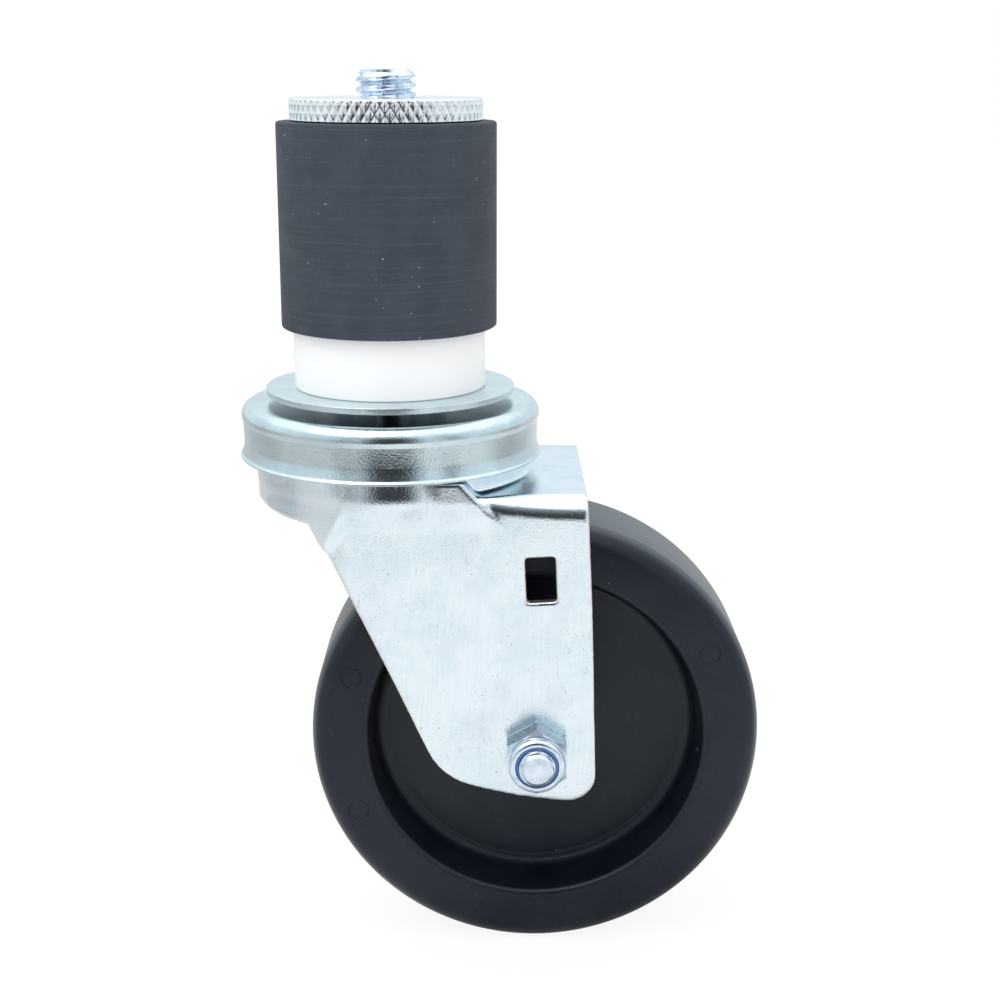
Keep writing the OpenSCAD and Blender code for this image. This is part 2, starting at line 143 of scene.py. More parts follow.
def fork_field(p):
    """Distance to the fork's sheet, negative inside it."""
    x, y, z = p[..., 0], np.abs(p[..., 1]), p[..., 2]
    r = np.hypot(x, y)
    lean = np.logaddexp(0, (z - joggle_z) / 3) * 3 * leg_lean
    side = (y - leg_half - lean) * math.cos(math.radians(6.6))
    # The bend over the leg is tight where it leaves the crown and opens towards the trailing edge
    bend_r = 4 - 3.5 * np.exp(-np.maximum(x - 14, 0) / 5.5)
    over_bridge = z - bridge_z - 7 * step(6, 0, x)
    legs = at_least(side, over_bridge, bend_r)
    # The foot of the bend is eased, so that the leg stands upright before it turns over
    eased = (y - 20.1 - 0.13 * bend_r) * 0.966 + over_bridge * 0.259
    legs = at_least(at_least(legs, eased, 1), -x - 20 + 1.2 * step(-19, -15, z), 14)
    # The crown's wall swells a little where it starts to fold
    swell = 0.14 * np.exp(-((z + 14.4) / 1.4) ** 2)
    crown = at_least(r - crown_r - swell, z - crown_top, 2.6)
    # A short gusset stands between the crown and the start of the bend, with a slanting end
    gusset = at_least(y - 20.95 - 0.06 * (z + 14.5), (x - 14.6 + 0.85 * (z + 14.5)) * 0.76, 0.6)
    gusset = at_least(at_least(gusset, z + 11.8, 0.3), -x, 0.3)
    crown = at_most(at_most(crown, gusset, 0.5), legs, 0.8)
    # The wall runs down into the leg in one soft fold, which drops out of sight at the leading edge
    drop = 8 * step(-5.5, -12, x)
    body = crown + (legs - crown) * step(-15, -20.4, z + drop)
    # The ball track is pressed into the crown's top, round the kingpin
    body = body + 0.9 * np.exp(-((r - track_r) / 1.2) ** 2) * (z > -12)
    plate = np.abs(body + sheet / 2) - sheet / 2
    return at_least(plate, sheared(x, z, r), 0.32)


def surface_net(field, low, high, cell):
    """Mesh of the surface where the field is zero: one vertex in each cell that the surface crosses."""
    axes = [np.arange(a, b + cell, cell) for a, b in zip(low, high)]
    value = field(np.stack(np.meshgrid(*axes, indexing="ij"), axis=-1))
    cells = tuple(n - 1 for n in value.shape)
    total = np.zeros(cells + (3,))
    count = np.zeros(cells)
    rings = []
    for axis in range(3):
        a = np.moveaxis(value, axis, 0)[:-1]
        b = np.moveaxis(value, axis, 0)[1:]
        index = np.argwhere((a < 0) != (b < 0))
        va, vb = a[tuple(index.T)], b[tuple(index.T)]
        others = [k for k in range(3) if k != axis]
        corner = index[:, np.argsort([axis] + others)]
        place = np.stack([axes[k][corner[:, k]] for k in range(3)], axis=1)
        place[:, axis] += cell * va / (va - vb)
        ring = []
        for du, dv in ((0, 0), (-1, 0), (-1, -1), (0, -1)):
            shift = np.zeros(3, int)
            shift[others[0]], shift[others[1]] = du, dv
            ring.append(corner + shift)
        ring = np.stack(ring, axis=1)
        keep = np.all((ring >= 0) & (ring < np.array(cells)), axis=(1, 2))
        ring, place, va = ring[keep], place[keep], va[keep]
        for k in range(4):
            np.add.at(total, tuple(ring[:, k].T), place)
            np.add.at(count, tuple(ring[:, k].T), 1)
        flip = (va < 0) != (axis == 1)
        ring[flip] = ring[flip][:, ::-1]
        rings.append(ring)
    used = count > 0
    number = np.full(cells, -1)
    number[used] = np.arange(used.sum())
    rings = np.concatenate(rings)
    faces = number[rings[..., 0], rings[..., 1], rings[..., 2]]
    return total[used] / count[used][:, None], faces[:, ::-1]


def settle(points, field, rounds=3, reach=0.02):
    """Moves points onto the surface along the field's slope."""
    for _ in range(rounds):
        slope = np.stack([
            (field(points + reach * np.eye(3)[k]) - field(points - reach * np.eye(3)[k])) / (2 * reach)
            for k in range(3)], axis=1)
        square = np.maximum((slope * slope).sum(1), 0.05)
        move = (field(points) / square)[:, None] * slope
        points = points - np.clip(move, -0.2, 0.2)
    return points


def mesh_object(name, points, faces):
    """Object at the origin with its place, given in millimetres, in its mesh."""
    mesh = bpy.data.meshes.new(name)
    mesh.from_pydata((np.asarray(points) * MM).tolist(), [], np.asarray(faces).tolist())
    made = bpy.data.objects.new(name, mesh)
    scene.collection.objects.link(made)
    return made


points, faces = surface_net(fork_field, (-24, -24, -70), (36, 24, -5), 0.405)
points = settle(points, fork_field)
fork = mesh_object("fork_stamping", points, faces)
fork.data.shade_smooth()
cut = sheared(points[:, 0], points[:, 2], np.hypot(points[:, 0], points[:, 1]))
fork.data.attributes.new("cut_edge", "FLOAT", "POINT").data.foreach_set("value", step(-0.3, -0.1, cut))


def node(tree, kind, inputs=None, **settings):
    """Adds a node. Each input is a value, an output of another node, or a node whose first output it is."""
    made = tree.nodes.new(kind)
    for name, value in settings.items():
        setattr(made, name, value)
    for name, value in (inputs or {}).items():
        if isinstance(value, bpy.types.Node):
            value = value.outputs[0]
        if isinstance(value, bpy.types.NodeSocket):
            tree.links.new(value, made.inputs[name])
        else:
            made.inputs[name].default_value = value
    return made


def calc(tree, operation, *values):
    return node(tree, "ShaderNodeMath", dict(enumerate(values)), operation=operation).outputs[0]


def ramp(tree, value, low, high, first=0, last=1):
    """Smooth step of a value between two levels."""
    return node(tree, "ShaderNodeMapRange", {
        "Value": value, "From Min": low, "From Max": high, "To Min": first, "To Max": last},
        interpolation_type="SMOOTHSTEP").outputs[0]


def mixed(tree, share, a, b, mode="MIX"):
    return node(tree, "ShaderNodeMix", {0: share, 6: a, 7: b}, data_type="RGBA", blend_type=mode).outputs[2]


def noise(tree, vector, scale, detail=2, rough=0.5):
    return node(tree, "ShaderNodeTexNoise", {
        "Vector": vector, "Scale": scale, "Detail": detail, "Roughness": rough}).outputs[0]


def millimetres(tree, size=(1, 1, 1), turn=(0, 0, 0), centre=(0, 0, 0)):
    """Place on the piece in millimetres, divided by a size along each axis."""
    return node(tree, "ShaderNodeMapping", {
        "Vector": node(tree, "ShaderNodeTexCoord").outputs["Object"],
        "Location": tuple(np.multiply(centre, MM)),
        "Rotation": tuple(map(math.radians, turn)),
        "Scale": tuple(np.multiply(size, MM))}, vector_type="TEXTURE").outputs[0]


def effect(name, inputs, outputs, kind="ShaderNodeTree"):
    """Empty node group with named sockets. Gives the tree, what comes in and what goes out."""
    tree = bpy.data.node_groups.new(name, kind)
    for label, socket, value in inputs:
        made = tree.interface.new_socket(label, in_out="INPUT", socket_type="NodeSocket" + socket)
        if value is not None:
            made.default_value = value
    for label, socket in outputs:
        tree.interface.new_socket(label, in_out="OUTPUT", socket_type="NodeSocket" + socket)
    return tree, tree.nodes.new("NodeGroupInput").outputs, tree.nodes.new("NodeGroupOutput").inputs


def placed(tree, group, **inputs):
    """Puts a shared effect in a material. Its inputs are named with underscores for spaces."""
    return node(tree, "ShaderNodeGroup", {k.replace("_", " "): v for k, v in inputs.items()},
                node_tree=group).outputs


# Cloudy zinc plate with a fine grain, for every plated piece
plating, given, out = effect("plating", [
    ("Bright", "Color", (0.8, 0.86, 0.92, 1)), ("Dull", "Color", (0.6, 0.68, 0.74, 1)),
    ("Cloud Size", "Float", 6), ("Grain Size", "Float", 0.25),
    ("Roughness", "Float", 0.25), ("Spread", "Float", 0.1), ("Streak", "Float", 0)],
    [("Color", "Color"), ("Roughness", "Float"), ("Height", "Float")])
place = millimetres(plating)
cloud = noise(plating, place, calc(plating, "DIVIDE", 1, given["Cloud Size"]), 5, 0.6)
grain = noise(plating, place, calc(plating, "DIVIDE", 1, given["Grain Size"]), 3, 0.7)
tint = noise(plating, place, 0.11, 2)
body_colour = mixed(plating, ramp(plating, cloud, 0.38, 0.66), given["Bright"], given["Dull"])
cool = mixed(plating, ramp(plating, tint, 0.4, 0.6), (0.965, 1.0, 1.0, 1), (0.985, 0.985, 1.01, 1))
body_colour = mixed(plating, 1, body_colour, cool, "MULTIPLY")
# Faint upright lines that the sheet keeps from the rolling mill
upright = millimetres(plating, (0.45, 0.45, 14), (0, 4, 0))
streak = ramp(plating, noise(plating, upright, 1, 3, 0.6), 0.4, 0.75)
body_colour = mixed(plating, calc(plating, "MULTIPLY", streak, given["Streak"]), body_colour,
                    (0.5, 0.56, 0.62, 1))
plating.links.new(body_colour, out["Color"])
rough = calc(plating, "MULTIPLY_ADD", calc(plating, "SUBTRACT", grain, 0.5), given["Spread"],
             given["Roughness"])
rough = calc(plating, "MULTIPLY_ADD", calc(plating, "SUBTRACT", cloud, 0.5), 0.08, rough)
plating.links.new(rough, out["Roughness"])
plating.links.new(grain, out["Height"])

# Short straight scratches in patches, in three directions
scratches, given, out = effect("scratches", [("Amount", "Float", 0.5)], [("Mask", "Float")])
patches = ramp(scratches, noise(scratches, millimetres(scratches), 0.16, 3), 0.45, 0.62)
lines = None
for turn in ((0, 72, 8), (10, -48, -20), (0, 20, 30)):
    run = noise(scratches, millimetres(scratches, (3.5, 0.14, 0.14), turn), 1, 1)
    line = ramp(scratches, run, 0.69, 0.75)
    lines = line if lines is None else calc(scratches, "MAXIMUM", lines, line)
mask = calc(scratches, "MULTIPLY", calc(scratches, "MULTIPLY", lines, patches), given["Amount"])
scratches.links.new(mask, out["Mask"])

# Small round specks at random: pits in plating, or dust on rubber and plastic
specks, given, out = effect("specks", [
    ("Spacing", "Float", 1.5), ("Size", "Float", 0.12), ("Share", "Float", 0.3)], [("Mask", "Float")])
cells = node(specks, "ShaderNodeTexVoronoi", {
    "Vector": millimetres(specks), "Scale": calc(specks, "DIVIDE", 1, given["Spacing"])})
chance = node(specks, "ShaderNodeSeparateColor", {0: cells.outputs["Color"]})
reach = calc(specks, "MULTIPLY", calc(specks, "DIVIDE", given["Size"], given["Spacing"]),
             calc(specks, "ADD", chance.outputs[1], 0.3))
speck = ramp(specks, calc(specks, "DIVIDE", cells.outputs["Distance"], reach), 1, 0.5)
mask = calc(specks, "MULTIPLY", speck, calc(specks, "LESS_THAN", chance.outputs[0], given["Share"]))
specks.links.new(mask, out["Mask"])


def material(name, **sockets):
    """Material with values set on the shader's own sockets. Gives the material, its tree and its shader."""
    made = bpy.data.materials.new(name)
    made.use_nodes = True
    shader = made.node_tree.nodes["Principled BSDF"]
    for label, value in sockets.items():
        shader.inputs[label.replace("_", " ")].default_value = value
    return made, made.node_tree, shader


def relief(tree, shader, height, depth):
    """Lets a height, in millimetres deep, feed the shader's normal."""
    bump = node(tree, "ShaderNodeBump", {"Height": height, "Strength": 1, "Distance": depth * MM})
    tree.links.new(bump.outputs[0], shader.inputs["Normal"])


def zinc(name, bright, dull, cloud, grain, roughness, spread, depth, wear, pits, streak=0.0):
    """Zinc plate with scratches and pits."""
    made, tree, shader = material(name, Metallic=1)
    plate = placed(tree, plating, Bright=bright, Dull=dull, Cloud_Size=cloud, Grain_Size=grain,
                   Roughness=roughness, Spread=spread, Streak=streak)
    scratch = placed(tree, scratches, Amount=wear)[0]
    crowd = ramp(tree, noise(tree, millimetres(tree), 0.2, 3), 0.5, 0.65)
    pit = calc(tree, "MULTIPLY", placed(tree, specks, Spacing=0.8, Size=0.1, Share=pits)[0], crowd)
    colour = mixed(tree, scratch, plate["Color"], (0.35, 0.38, 0.42, 1))
    colour = mixed(tree, pit, colour, (0.12, 0.13, 0.15, 1))
    tree.links.new(colour, shader.inputs["Base Color"])
    tree.links.new(calc(tree, "MULTIPLY_ADD", scratch, 0.2, plate["Roughness"]), shader.inputs["Roughness"])
    relief(tree, shader, calc(tree, "SUBTRACT", plate["Height"], pit), depth)
    return made, tree, shader


sheet_zinc, tree, shader = zinc("sheet_zinc", (0.84, 0.92, 0.97, 1), (0.75, 0.86, 0.92, 1), 7, 0.36,
                                0.13, 0.1, 0.036, 0.7, 0.5, 0.12)
# The sheared edge is rougher and shows warmer than the plate's face
shear = node(tree, "ShaderNodeAttribute", attribute_name="cut_edge").outputs["Fac"]
colour = shader.inputs["Base Color"].links[0].from_socket
tree.links.new(mixed(tree, shear, colour, (0.88, 0.84, 0.76, 1)), shader.inputs["Base Color"])
rough = shader.inputs["Roughness"].links[0].from_socket
tree.links.new(calc(tree, "MULTIPLY_ADD", shear, 0.25, rough), shader.inputs["Roughness"])
fork.data.materials.append(sheet_zinc)
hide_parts("fork")
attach(fork, "swivel_fork")


# Wheel. One moulding of hard black plastic, 3 inches across: a tread, a thin web set back from both faces
# and a hub that fills the room between the legs. Turned dies leave faint rings on it, and the pins that
# pushed it out of the mould leave four round marks on each face.
def turned(name, section, steps=128, sharp=40):
    """Piece round the z axis. Its section is a list of (radius, height) in millimetres, or gives one for
    an angle. It is a closed ring, or starts and ends on the axis."""
    angles = np.arange(steps) * 2 * math.pi / steps
    columns = np.array([section(a) if callable(section) else section for a in angles], float)
    rows = columns.shape[1]
    r = columns[..., 0]
    points = np.stack([r * np.cos(angles)[:, None], r * np.sin(angles)[:, None], columns[..., 1]], axis=-1)
    number = np.arange(steps * rows).reshape(steps, rows)
    beside = np.roll(number, -1, axis=0)
    faces = np.stack([number, beside, np.roll(beside, -1, axis=1), np.roll(number, -1, axis=1)], axis=-1)
    if np.all(r[:, 0] == 0):
        faces = faces[:, :-1]
    made = mesh_object(name, points.reshape(-1, 3), faces.reshape(-1, 4))
    work = bmesh.new()
    work.from_mesh(made.data)
    bmesh.ops.remove_doubles(work, verts=work.verts, dist=1e-7)
    bmesh.ops.recalc_face_normals(work, faces=work.faces)
    work.to_mesh(made.data)
    work.free()
    made.data.shade_smooth()
    made.data.set_sharp_from_angle(angle=math.radians(sharp))
    return made


wheel_r = 38.1
tread_y = 10.95
hub_y = 14.6
pin_mark_r = 33
half = round_corners([
    (8.2, hub_y, 0.3), (9.5, hub_y - 1.3, 1), (10, 1.8, 1.5), (27.6, 1.8, 2.2), (28.3, tread_y, 1.3),
    (wheel_r, tread_y, 3.4), (wheel_r, -1, 0), (8, -1, 0)], 7)
half = half[:-2]
wheel_section = np.concatenate([
    [(4.81, -hub_y), (4.81, hub_y)], half, [(wheel_r, 0)], half[::-1] * (1, -1)])
# Turned pieces on the axle are made round z and then laid across the fork
across = Matrix.Translation((axle_x * MM, 0, axle_z * MM)) @ Matrix.Rotation(math.pi / 2, 4, "X")
wheel = turned("wheel_moulding", wheel_section, 256)
wheel.data.transform(across)


def off_axis(tree, a, b):
    """Distance from an axis, from two places across it."""
    square = calc(tree, "ADD", calc(tree, "MULTIPLY", a, a), calc(tree, "MULTIPLY", b, b))
    return calc(tree, "POWER", square, 0.5)


black_plastic, tree, shader = material("black_plastic", Specular_IOR_Level=0.45,
                                       Specular_Tint=(0.85, 0.93, 1, 1))
place = millimetres(tree, centre=(axle_x, 0, axle_z))
parts = node(tree, "ShaderNodeSeparateXYZ", {0: place}).outputs
radius = off_axis(tree, parts[0], parts[2])
ring_place = node(tree, "ShaderNodeCombineXYZ", {0: radius, 1: parts[1]})
rings = noise(tree, ring_place, 2.2, 3, 0.7)
mottle = noise(tree, place, 0.12, 3)
dust = placed(tree, specks, Spacing=4, Size=0.25, Share=0.12)[0]
scuff = placed(tree, scratches, Amount=0.5)[0]
colour = mixed(tree, ramp(tree, mottle, 0.35, 0.65), (0.0035, 0.005, 0.013, 1), (0.006, 0.0085, 0.0165, 1))
# The tread and the outer part of its shoulder are coloured lighter grey
lighter_tread = ramp(tree, radius, 37, 37.9, 0, 0.85)
colour = mixed(tree, lighter_tread, colour, (0.07, 0.087, 0.101, 1))
colour = mixed(tree, scuff, colour, (0.05, 0.055, 0.065, 1))
colour = mixed(tree, dust, colour, (0.25, 0.26, 0.28, 1))
tree.links.new(colour, shader.inputs["Base Color"])
tree.links.new(ramp(tree, rings, 0.3, 0.7, 0.3, 0.4), shader.inputs["Roughness"])
relief(tree, shader, rings, 0.01)
wheel.data.materials.append(black_plastic)
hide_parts("wheel")
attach(wheel, "road_wheel")


def finished(tree, geometry, given, out):
    """Ends a geometry tree in plain mesh with its material."""
    solid = node(tree, "GeometryNodeRealizeInstances", {0: geometry})
    coated = node(tree, "GeometryNodeSetMaterial", {"Geometry": solid, "Material": given["Finish"]})
    tree.links.new(coated.outputs[0], out[0])


def grown(piece, tree, **values):
    """Runs a geometry tree on a piece and keeps the result as its plain mesh."""
    modifier = piece.modifiers.new(tree.name, "NODES")
    modifier.node_group = tree
    for item in tree.interface.items_tree:
        if item.in_out == "INPUT" and item.name.replace(" ", "_") in values:
            modifier[item.identifier] = values[item.name.replace(" ", "_")]
    seen = piece.evaluated_get(bpy.context.evaluated_depsgraph_get())
    mesh = bpy.data.meshes.new_from_object(seen)
    piece.modifiers.clear()
    piece.data = mesh
    mesh.shade_smooth()


pin_marks, given, out = effect("pin_marks", [
    ("Points", "Geometry", None), ("Radius", "Float", 0.0017), ("Line", "Float", 0.0001),
    ("Finish", "Material", None)], [("Marks", "Geometry")], "GeometryNodeTree")
circle = node(pin_marks, "GeometryNodeCurvePrimitiveCircle", {"Resolution": 28, "Radius": given["Radius"]})
line = node(pin_marks, "GeometryNodeCurvePrimitiveCircle", {"Resolution": 6, "Radius": given["Line"]})
ring = node(pin_marks, "GeometryNodeCurveToMesh", {"Curve": circle, "Profile Curve": line})
copies = node(pin_marks, "GeometryNodeInstanceOnPoints", {
    "Points": given["Points"], "Instance": ring, "Rotation": (math.pi / 2, 0, 0)})
finished(pin_marks, copies, given, out)
spots = [(axle_x + pin_mark_r * math.cos(math.radians(a)), side * tread_y,
          axle_z + pin_mark_r * math.sin(math.radians(a)))
         for a in (160.6, -156.5, -66.1, 27.4) for side in (-1, 1)]
marks = mesh_object("wheel_pin_marks", spots, [])
grown(marks, pin_marks, Radius=1.7 * MM, Line=0.14 * MM, Finish=black_plastic)
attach(marks, "road_wheel")


# Axle bolt. A zinc-plated M6 hexagon bolt that goes in from the back leg and shows its thread's end
# in front. A steel sleeve round it keeps the legs apart and is what the hub turns on.
thread, given, out = effect("thread", [
    ("Blank", "Geometry", None), ("Pitch", "Float", 0.001), ("Depth", "Float", 0.0006),
    ("Crest", "Float", 0.003), ("Start", "Float", 0), ("Finish", "Material", None)],
    [("Threaded", "Geometry")], "GeometryNodeTree")
x, y, z = node(thread, "ShaderNodeSeparateXYZ", {0: node(thread, "GeometryNodeInputPosition")}).outputs
radius = off_axis(thread, x, y)
turns = calc(thread, "DIVIDE", calc(thread, "ARCTAN2", y, x), 2 * math.pi)
phase = calc(thread, "FRACT", calc(thread, "SUBTRACT", calc(thread, "DIVIDE", z, given["Pitch"]), turns))
wave = calc(thread, "ABSOLUTE", calc(thread, "MULTIPLY_ADD", phase, 2, -1))
runout = ramp(thread, calc(thread, "DIVIDE", calc(thread, "SUBTRACT", z, given["Start"]), given["Pitch"]),
              0, 1.5)
cut_depth = calc(thread, "MULTIPLY", calc(thread, "MULTIPLY", ramp(thread, wave, 0.25, 1.05), runout),
                 given["Depth"])
flank = calc(thread, "MINIMUM", radius, calc(thread, "SUBTRACT", given["Crest"], cut_depth))
scale = calc(thread, "DIVIDE", flank, calc(thread, "MAXIMUM", radius, 1e-6))
place = node(thread, "ShaderNodeCombineXYZ", {
    0: calc(thread, "MULTIPLY", x, scale), 1: calc(thread, "MULTIPLY", y, scale), 2: z})
moved = node(thread, "GeometryNodeSetPosition", {
    "Geometry": given["Blank"], "Selection": calc(thread, "GREATER_THAN", z, given["Start"]),
    "Position": place})
finished(thread, moved, given, out)


def hexagon(flats, a):
    """Radius of a hexagon with corners at 30 degrees, at an angle."""
    return flats / 2 / math.cos((a + math.pi / 6) % (math.pi / 3) - math.pi / 6)


def hex_bolt(name, flats, head, radius, length, pitch, start, tip):
    """Bolt round z, its seat at 0: the head below and the shank above. From the thread's start its rows
    are a tenth of a turn apart, close enough for the thread to be cut in them."""
    def section(a):
        corner = hexagon(flats, a)
        face = flats / 2 - 0.15
        bevel = (corner - face) * math.tan(math.radians(30))
        rows = np.arange(start, length - tip, pitch / 10)
        return ([(0, -head), (face - 0.3, -head), (face, -head + 0.08), (corner, -head + bevel + 0.05),
                 (corner, -0.25), (corner - 0.2, 0), (radius, 0), (radius, start * 0.5)]
                + [(radius, z) for z in rows]
                + [(radius, length - tip), (radius - tip * 0.5, length - tip * 0.5),
                   (radius - tip, length), (radius - tip - 0.4, length), (0, length)])
    return turned(name, section, 144, 28)


hardware_zinc, tree, shader = zinc("hardware_zinc", (0.8, 0.88, 0.95, 1), (0.6, 0.7, 0.8, 1), 2.5, 0.2,
                                   0.2, 0.12, 0.004, 0.5, 0.1)
m6_flats, m6_r, m6_pitch = 9.8, 3, 1
m6_thread = 26
axle_bolt = hex_bolt("axle_bolt_m6", m6_flats, 4, m6_r, 40.9, m6_pitch, m6_thread, 0.7)
grown(axle_bolt, thread, Pitch=m6_pitch * MM, Depth=0.58 * MM, Crest=m6_r * MM, Start=m6_thread * MM,
      Finish=hardware_zinc)
axle_bolt.data.set_sharp_from_angle(angle=math.radians(40))
axle_bolt.data.transform(Matrix.Translation((0, leg_half * MM, 0)) @ across)
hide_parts("axle_bolt")
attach(axle_bolt, "swivel_fork")
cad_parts["axle_sleeve"].data.materials.clear()
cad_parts["axle_sleeve"].data.materials.append(hardware_zinc)


# Axle nut. A plated M6 nut with a round collar that is rolled in over a ring of blue nylon. The nylon
# grips the thread, so the nut stays where it was tightened.
def nut_section(a):
    corner = hexagon(m6_flats, a)
    face = 4.75
    hex_top = 4.2
    bevel = (corner - face) * math.tan(math.radians(30))
    collar = round_corners([
        (4.65, hex_top, 0), (4.65, 6, 0.75), (3.55, 6, 0.12), (3.55, 3.9, 0), (3.05, 3.9, 0)])
    return [(3.05, 0), (corner - 0.3, 0), (corner, 0.18), (corner, hex_top - bevel), (face, hex_top)] + [
        tuple(p) for p in collar]


axle_nut = turned("axle_lock_nut", nut_section, 144, 28)
axle_nut.data.transform(Matrix.Translation((0, -leg_half * MM, 0)) @ across)
axle_nut.data.materials.append(hardware_zinc)
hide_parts("axle_nut")
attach(axle_nut, "swivel_fork")

insert = turned("nylon_locking_ring", round_corners([
    (3.02, 3.92, 0), (3.52, 3.92, 0), (3.52, 5.8, 0.15), (3.02, 5.8, 0.15)]), 96)
insert.data.transform(Matrix.Translation((0, -leg_half * MM, 0)) @ across)
blue_plastic, tree, shader = material("blue_locking_nylon", Roughness=0.4)
shade = noise(tree, millimetres(tree), 1.5, 3)
tree.links.new(mixed(tree, shade, (0.05, 0.15, 0.42, 1), (0.1, 0.25, 0.58, 1)),
               shader.inputs["Base Color"])
relief(tree, shader, noise(tree, millimetres(tree), 6, 2), 0.01)
insert.data.materials.append(blue_plastic)
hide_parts("nut_insert")
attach(insert, "swivel_fork")


# Kingpin and races. The kingpin is a steel tube that is riveted over at both ends, and it holds the cover
# and the two hardened races together with the fork's crown between them. The clamp bolt runs through it.
kingpin = turned("kingpin_rivet", round_corners([
    (5.0125, -12.69, 0), (10.6, -12.69, 0.5), (10.6, -11.29, 0.1), (7.2, -11.29, 0), (7.2, -2.45, 0),
    (9.4, -2.45, 0.1), (9.4, -1.1, 0.5), (5.0125, -1.1, 0)]), 128)
kingpin.data.materials.append(hardware_zinc)
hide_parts("kingpin")
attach(kingpin, "stem_adapter")

bearing_steel, tree, shader = material("bearing_steel", Metallic=1)
film = noise(tree, millimetres(tree), 0.5, 4)
tree.links.new(mixed(tree, film, (0.62, 0.62, 0.63, 1), (0.45, 0.43, 0.4, 1)),
               shader.inputs["Base Color"])
tree.links.new(ramp(tree, film, 0.3, 0.7, 0.14, 0.3), shader.inputs["Roughness"])
relief(tree, shader, noise(tree, millimetres(tree), 3, 2), 0.004)
for name in ("upper_race", "lower_race"):
    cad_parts[name].data.materials.clear()
    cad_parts[name].data.materials.append(bearing_steel)


# Bearing balls. Two rows of 1/8 inch balls: the upper row carries the load on top of the crown, and the
# lower row runs under it.
ball_row, given, out = effect("ball_row", [
    ("Seed Mesh", "Geometry", None), ("Count", "Int", 30), ("Pitch Radius", "Float", 0.0165),
    ("Ball Radius", "Float", 0.0015875), ("Level", "Float", 0), ("Finish", "Material", None)],
    [("Balls", "Geometry")], "GeometryNodeTree")
ring = node(ball_row, "GeometryNodeMeshCircle", {
    "Vertices": given["Count"], "Radius": given["Pitch Radius"]})
ball = node(ball_row, "GeometryNodeMeshUVSphere", {
    "Segments": 24, "Rings": 16, "Radius": given["Ball Radius"]})
copies = node(ball_row, "GeometryNodeInstanceOnPoints", {"Points": ring, "Instance": ball})
lifted = node(ball_row, "GeometryNodeTranslateInstances", {
    "Instances": copies, "Translation": node(ball_row, "ShaderNodeCombineXYZ", {2: given["Level"]})})
finished(ball_row, lifted, given, out)
ball_r = 1.5875
for name, count, radius, level in (("upper", 30, track_r, -5.5975), ("lower", 20, 11.4, -8.9425)):
    balls = mesh_object(name + "_ball_row", [], [])
    grown(balls, ball_row, Count=count, Pitch_Radius=radius * MM, Ball_Radius=ball_r * MM,
          Level=level * MM, Finish=bearing_steel)
    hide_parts(name + "_balls")
    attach(balls, name + "_ball_row")


# Dust cover. A shallow cup of 0.9 mm sheet, drawn in one press stroke and riveted on under the stem's
# washer. Its shoulder stands slightly proud of the wall, its rim flares, and its plate is duller.
cover_skin = round_corners([
    (7.25, -2.45, 0), (24.74, -2.45, 2), (24.74, -4.75, 0.6), (24.54, -5.5, 0.5), (24.4, -8.9, 3),
    (24.72, -10.8, 0.5), (25.1, -11.05, 0.15), (25.1, -11.35, 0.12), (24.3, -11.35, 0.12),
    (23.86, -10.6, 1), (23.5, -8.9, 3), (23.7, -5, 1), (23.75, -3.35, 1.1), (7.25, -3.35, 0)])
cover = turned("dust_cover_pressing", cover_skin, 192, 50)
dull_plate = ((0.7, 0.81, 0.84, 1), (0.6, 0.71, 0.75, 1), 9, 0.36, 0.13, 0.1, 0.04, 0.4, 0.15)
cover_zinc, tree, shader = zinc("cover_zinc", *dull_plate)
cover.data.materials.append(cover_zinc)
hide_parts("dust_cover")
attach(cover, "stem_adapter")


# Seat washer. A plain washer, stamped from steel and plated like the cover, that the end of the tube
# rests on. Its sheared edge leans in a little, and painted shade darkens its underside.
washer = turned("seat_washer_stamping", round_corners([
    (5.1625, -1.1, 0.05), (20.5, -1.1, 0.08), (20.6, 0, 0.16), (5.1625, 0, 0.2)]), 192, 50)
washer_zinc, tree, shader = zinc("washer_zinc", *dull_plate)
level = node(tree, "ShaderNodeSeparateXYZ", {0: millimetres(tree)}).outputs[2]
# Painted shade: the washer's underside is coloured dark, so that the gap under it stays dark
painted_underside_shade = ramp(tree, level, -1, -1.08)
colour = shader.inputs["Base Color"].links[0].from_socket
tree.links.new(mixed(tree, painted_underside_shade, colour, (0.1, 0.12, 0.14, 1)), shader.inputs["Base Color"])
washer.data.materials.append(washer_zinc)
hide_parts("seat_washer")
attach(washer, "stem_adapter")


# Clamp bolt. A plated 3/8-16 hexagon bolt, 2-1/2 inches long, that comes up through the kingpin. Its rolled
# thread has rounded crests, and its last inch is threaded.
clamp_length, clamp_r, clamp_pitch = 63.5, 4.7625, 1.5875
clamp_thread = clamp_length - 27
clamp_seat = -12.73
clamp_bolt = hex_bolt("clamp_bolt_unc", 14.3, 5.6, clamp_r, clamp_length, clamp_pitch, clamp_thread, 0.9)
grown(clamp_bolt, thread, Pitch=clamp_pitch * MM, Depth=0.95 * MM, Crest=clamp_r * MM,
      Start=clamp_thread * MM, Finish=hardware_zinc)
clamp_bolt.data.set_sharp_from_angle(angle=math.radians(40))
clamp_bolt.data.transform(Matrix.Translation((0, 0, clamp_seat * MM)))
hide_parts("clamp_bolt")
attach(clamp_bolt, "clamp_bolt_body")


